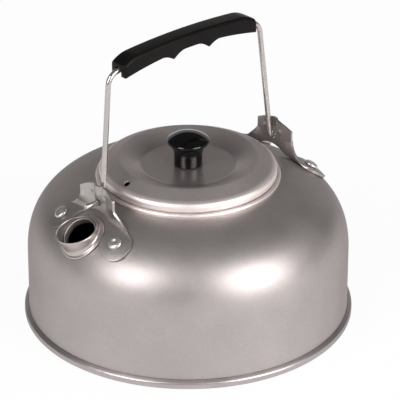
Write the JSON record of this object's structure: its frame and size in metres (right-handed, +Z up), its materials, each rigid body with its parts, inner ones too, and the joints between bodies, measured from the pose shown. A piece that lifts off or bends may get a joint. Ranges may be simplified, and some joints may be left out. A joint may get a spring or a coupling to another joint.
{
  "type": "camping tea kettle",
  "caption": "Round low camping tea kettle with a short pouring spout, a stepped lift-off lid with a round knob, and a folding wire bail with a finger grip.",
  "frame": {"origin": "centre of the flat base, on the surface that the kettle stands on", "axes": "+Z up, the spout points along -X, the bail turns about the X direction"},
  "size_m": [0.155, 0.155, 0.142],
  "materials": {
    "satin_aluminium": "satin, fine-grained, warm grey",
    "bright_steel": "bright, lightly polished",
    "rivet_alloy": "bright, as headed",
    "brass": "turned",
    "gloss_black": "gloss",
    "satin_black": "satin"
  },
  "bodies": {
    "kettle": {"body_shell": "satin_aluminium", "base_pan": "satin_aluminium", "spout": "satin_aluminium", "front_bracket": "bright_steel", "rear_bracket": "bright_steel", "front_rivet_left": "rivet_alloy", "front_rivet_right": "rivet_alloy", "rear_rivet_left": "rivet_alloy", "rear_rivet_right": "rivet_alloy"},
    "lid": {"lid_shell": "satin_aluminium", "knob": "gloss_black", "knob_insert": "brass", "knob_screw": "bright_steel", "knob_washer": "bright_steel"},
    "bail": {"bail_wire": "bright_steel", "grip": "satin_black"}
  },
  "joints": [
    {"name": "bail_swing", "type": "hinge", "parent": "kettle", "child": "bail", "pos_m": [0, 0, 0.0732], "axis": [1, 0, 0], "range_deg": [-93, 97]},
    {"name": "lid_lift", "type": "slide", "parent": "kettle", "child": "lid", "axis": [0, 0, 1], "range_m": [0, 0.025]}
  ]
}
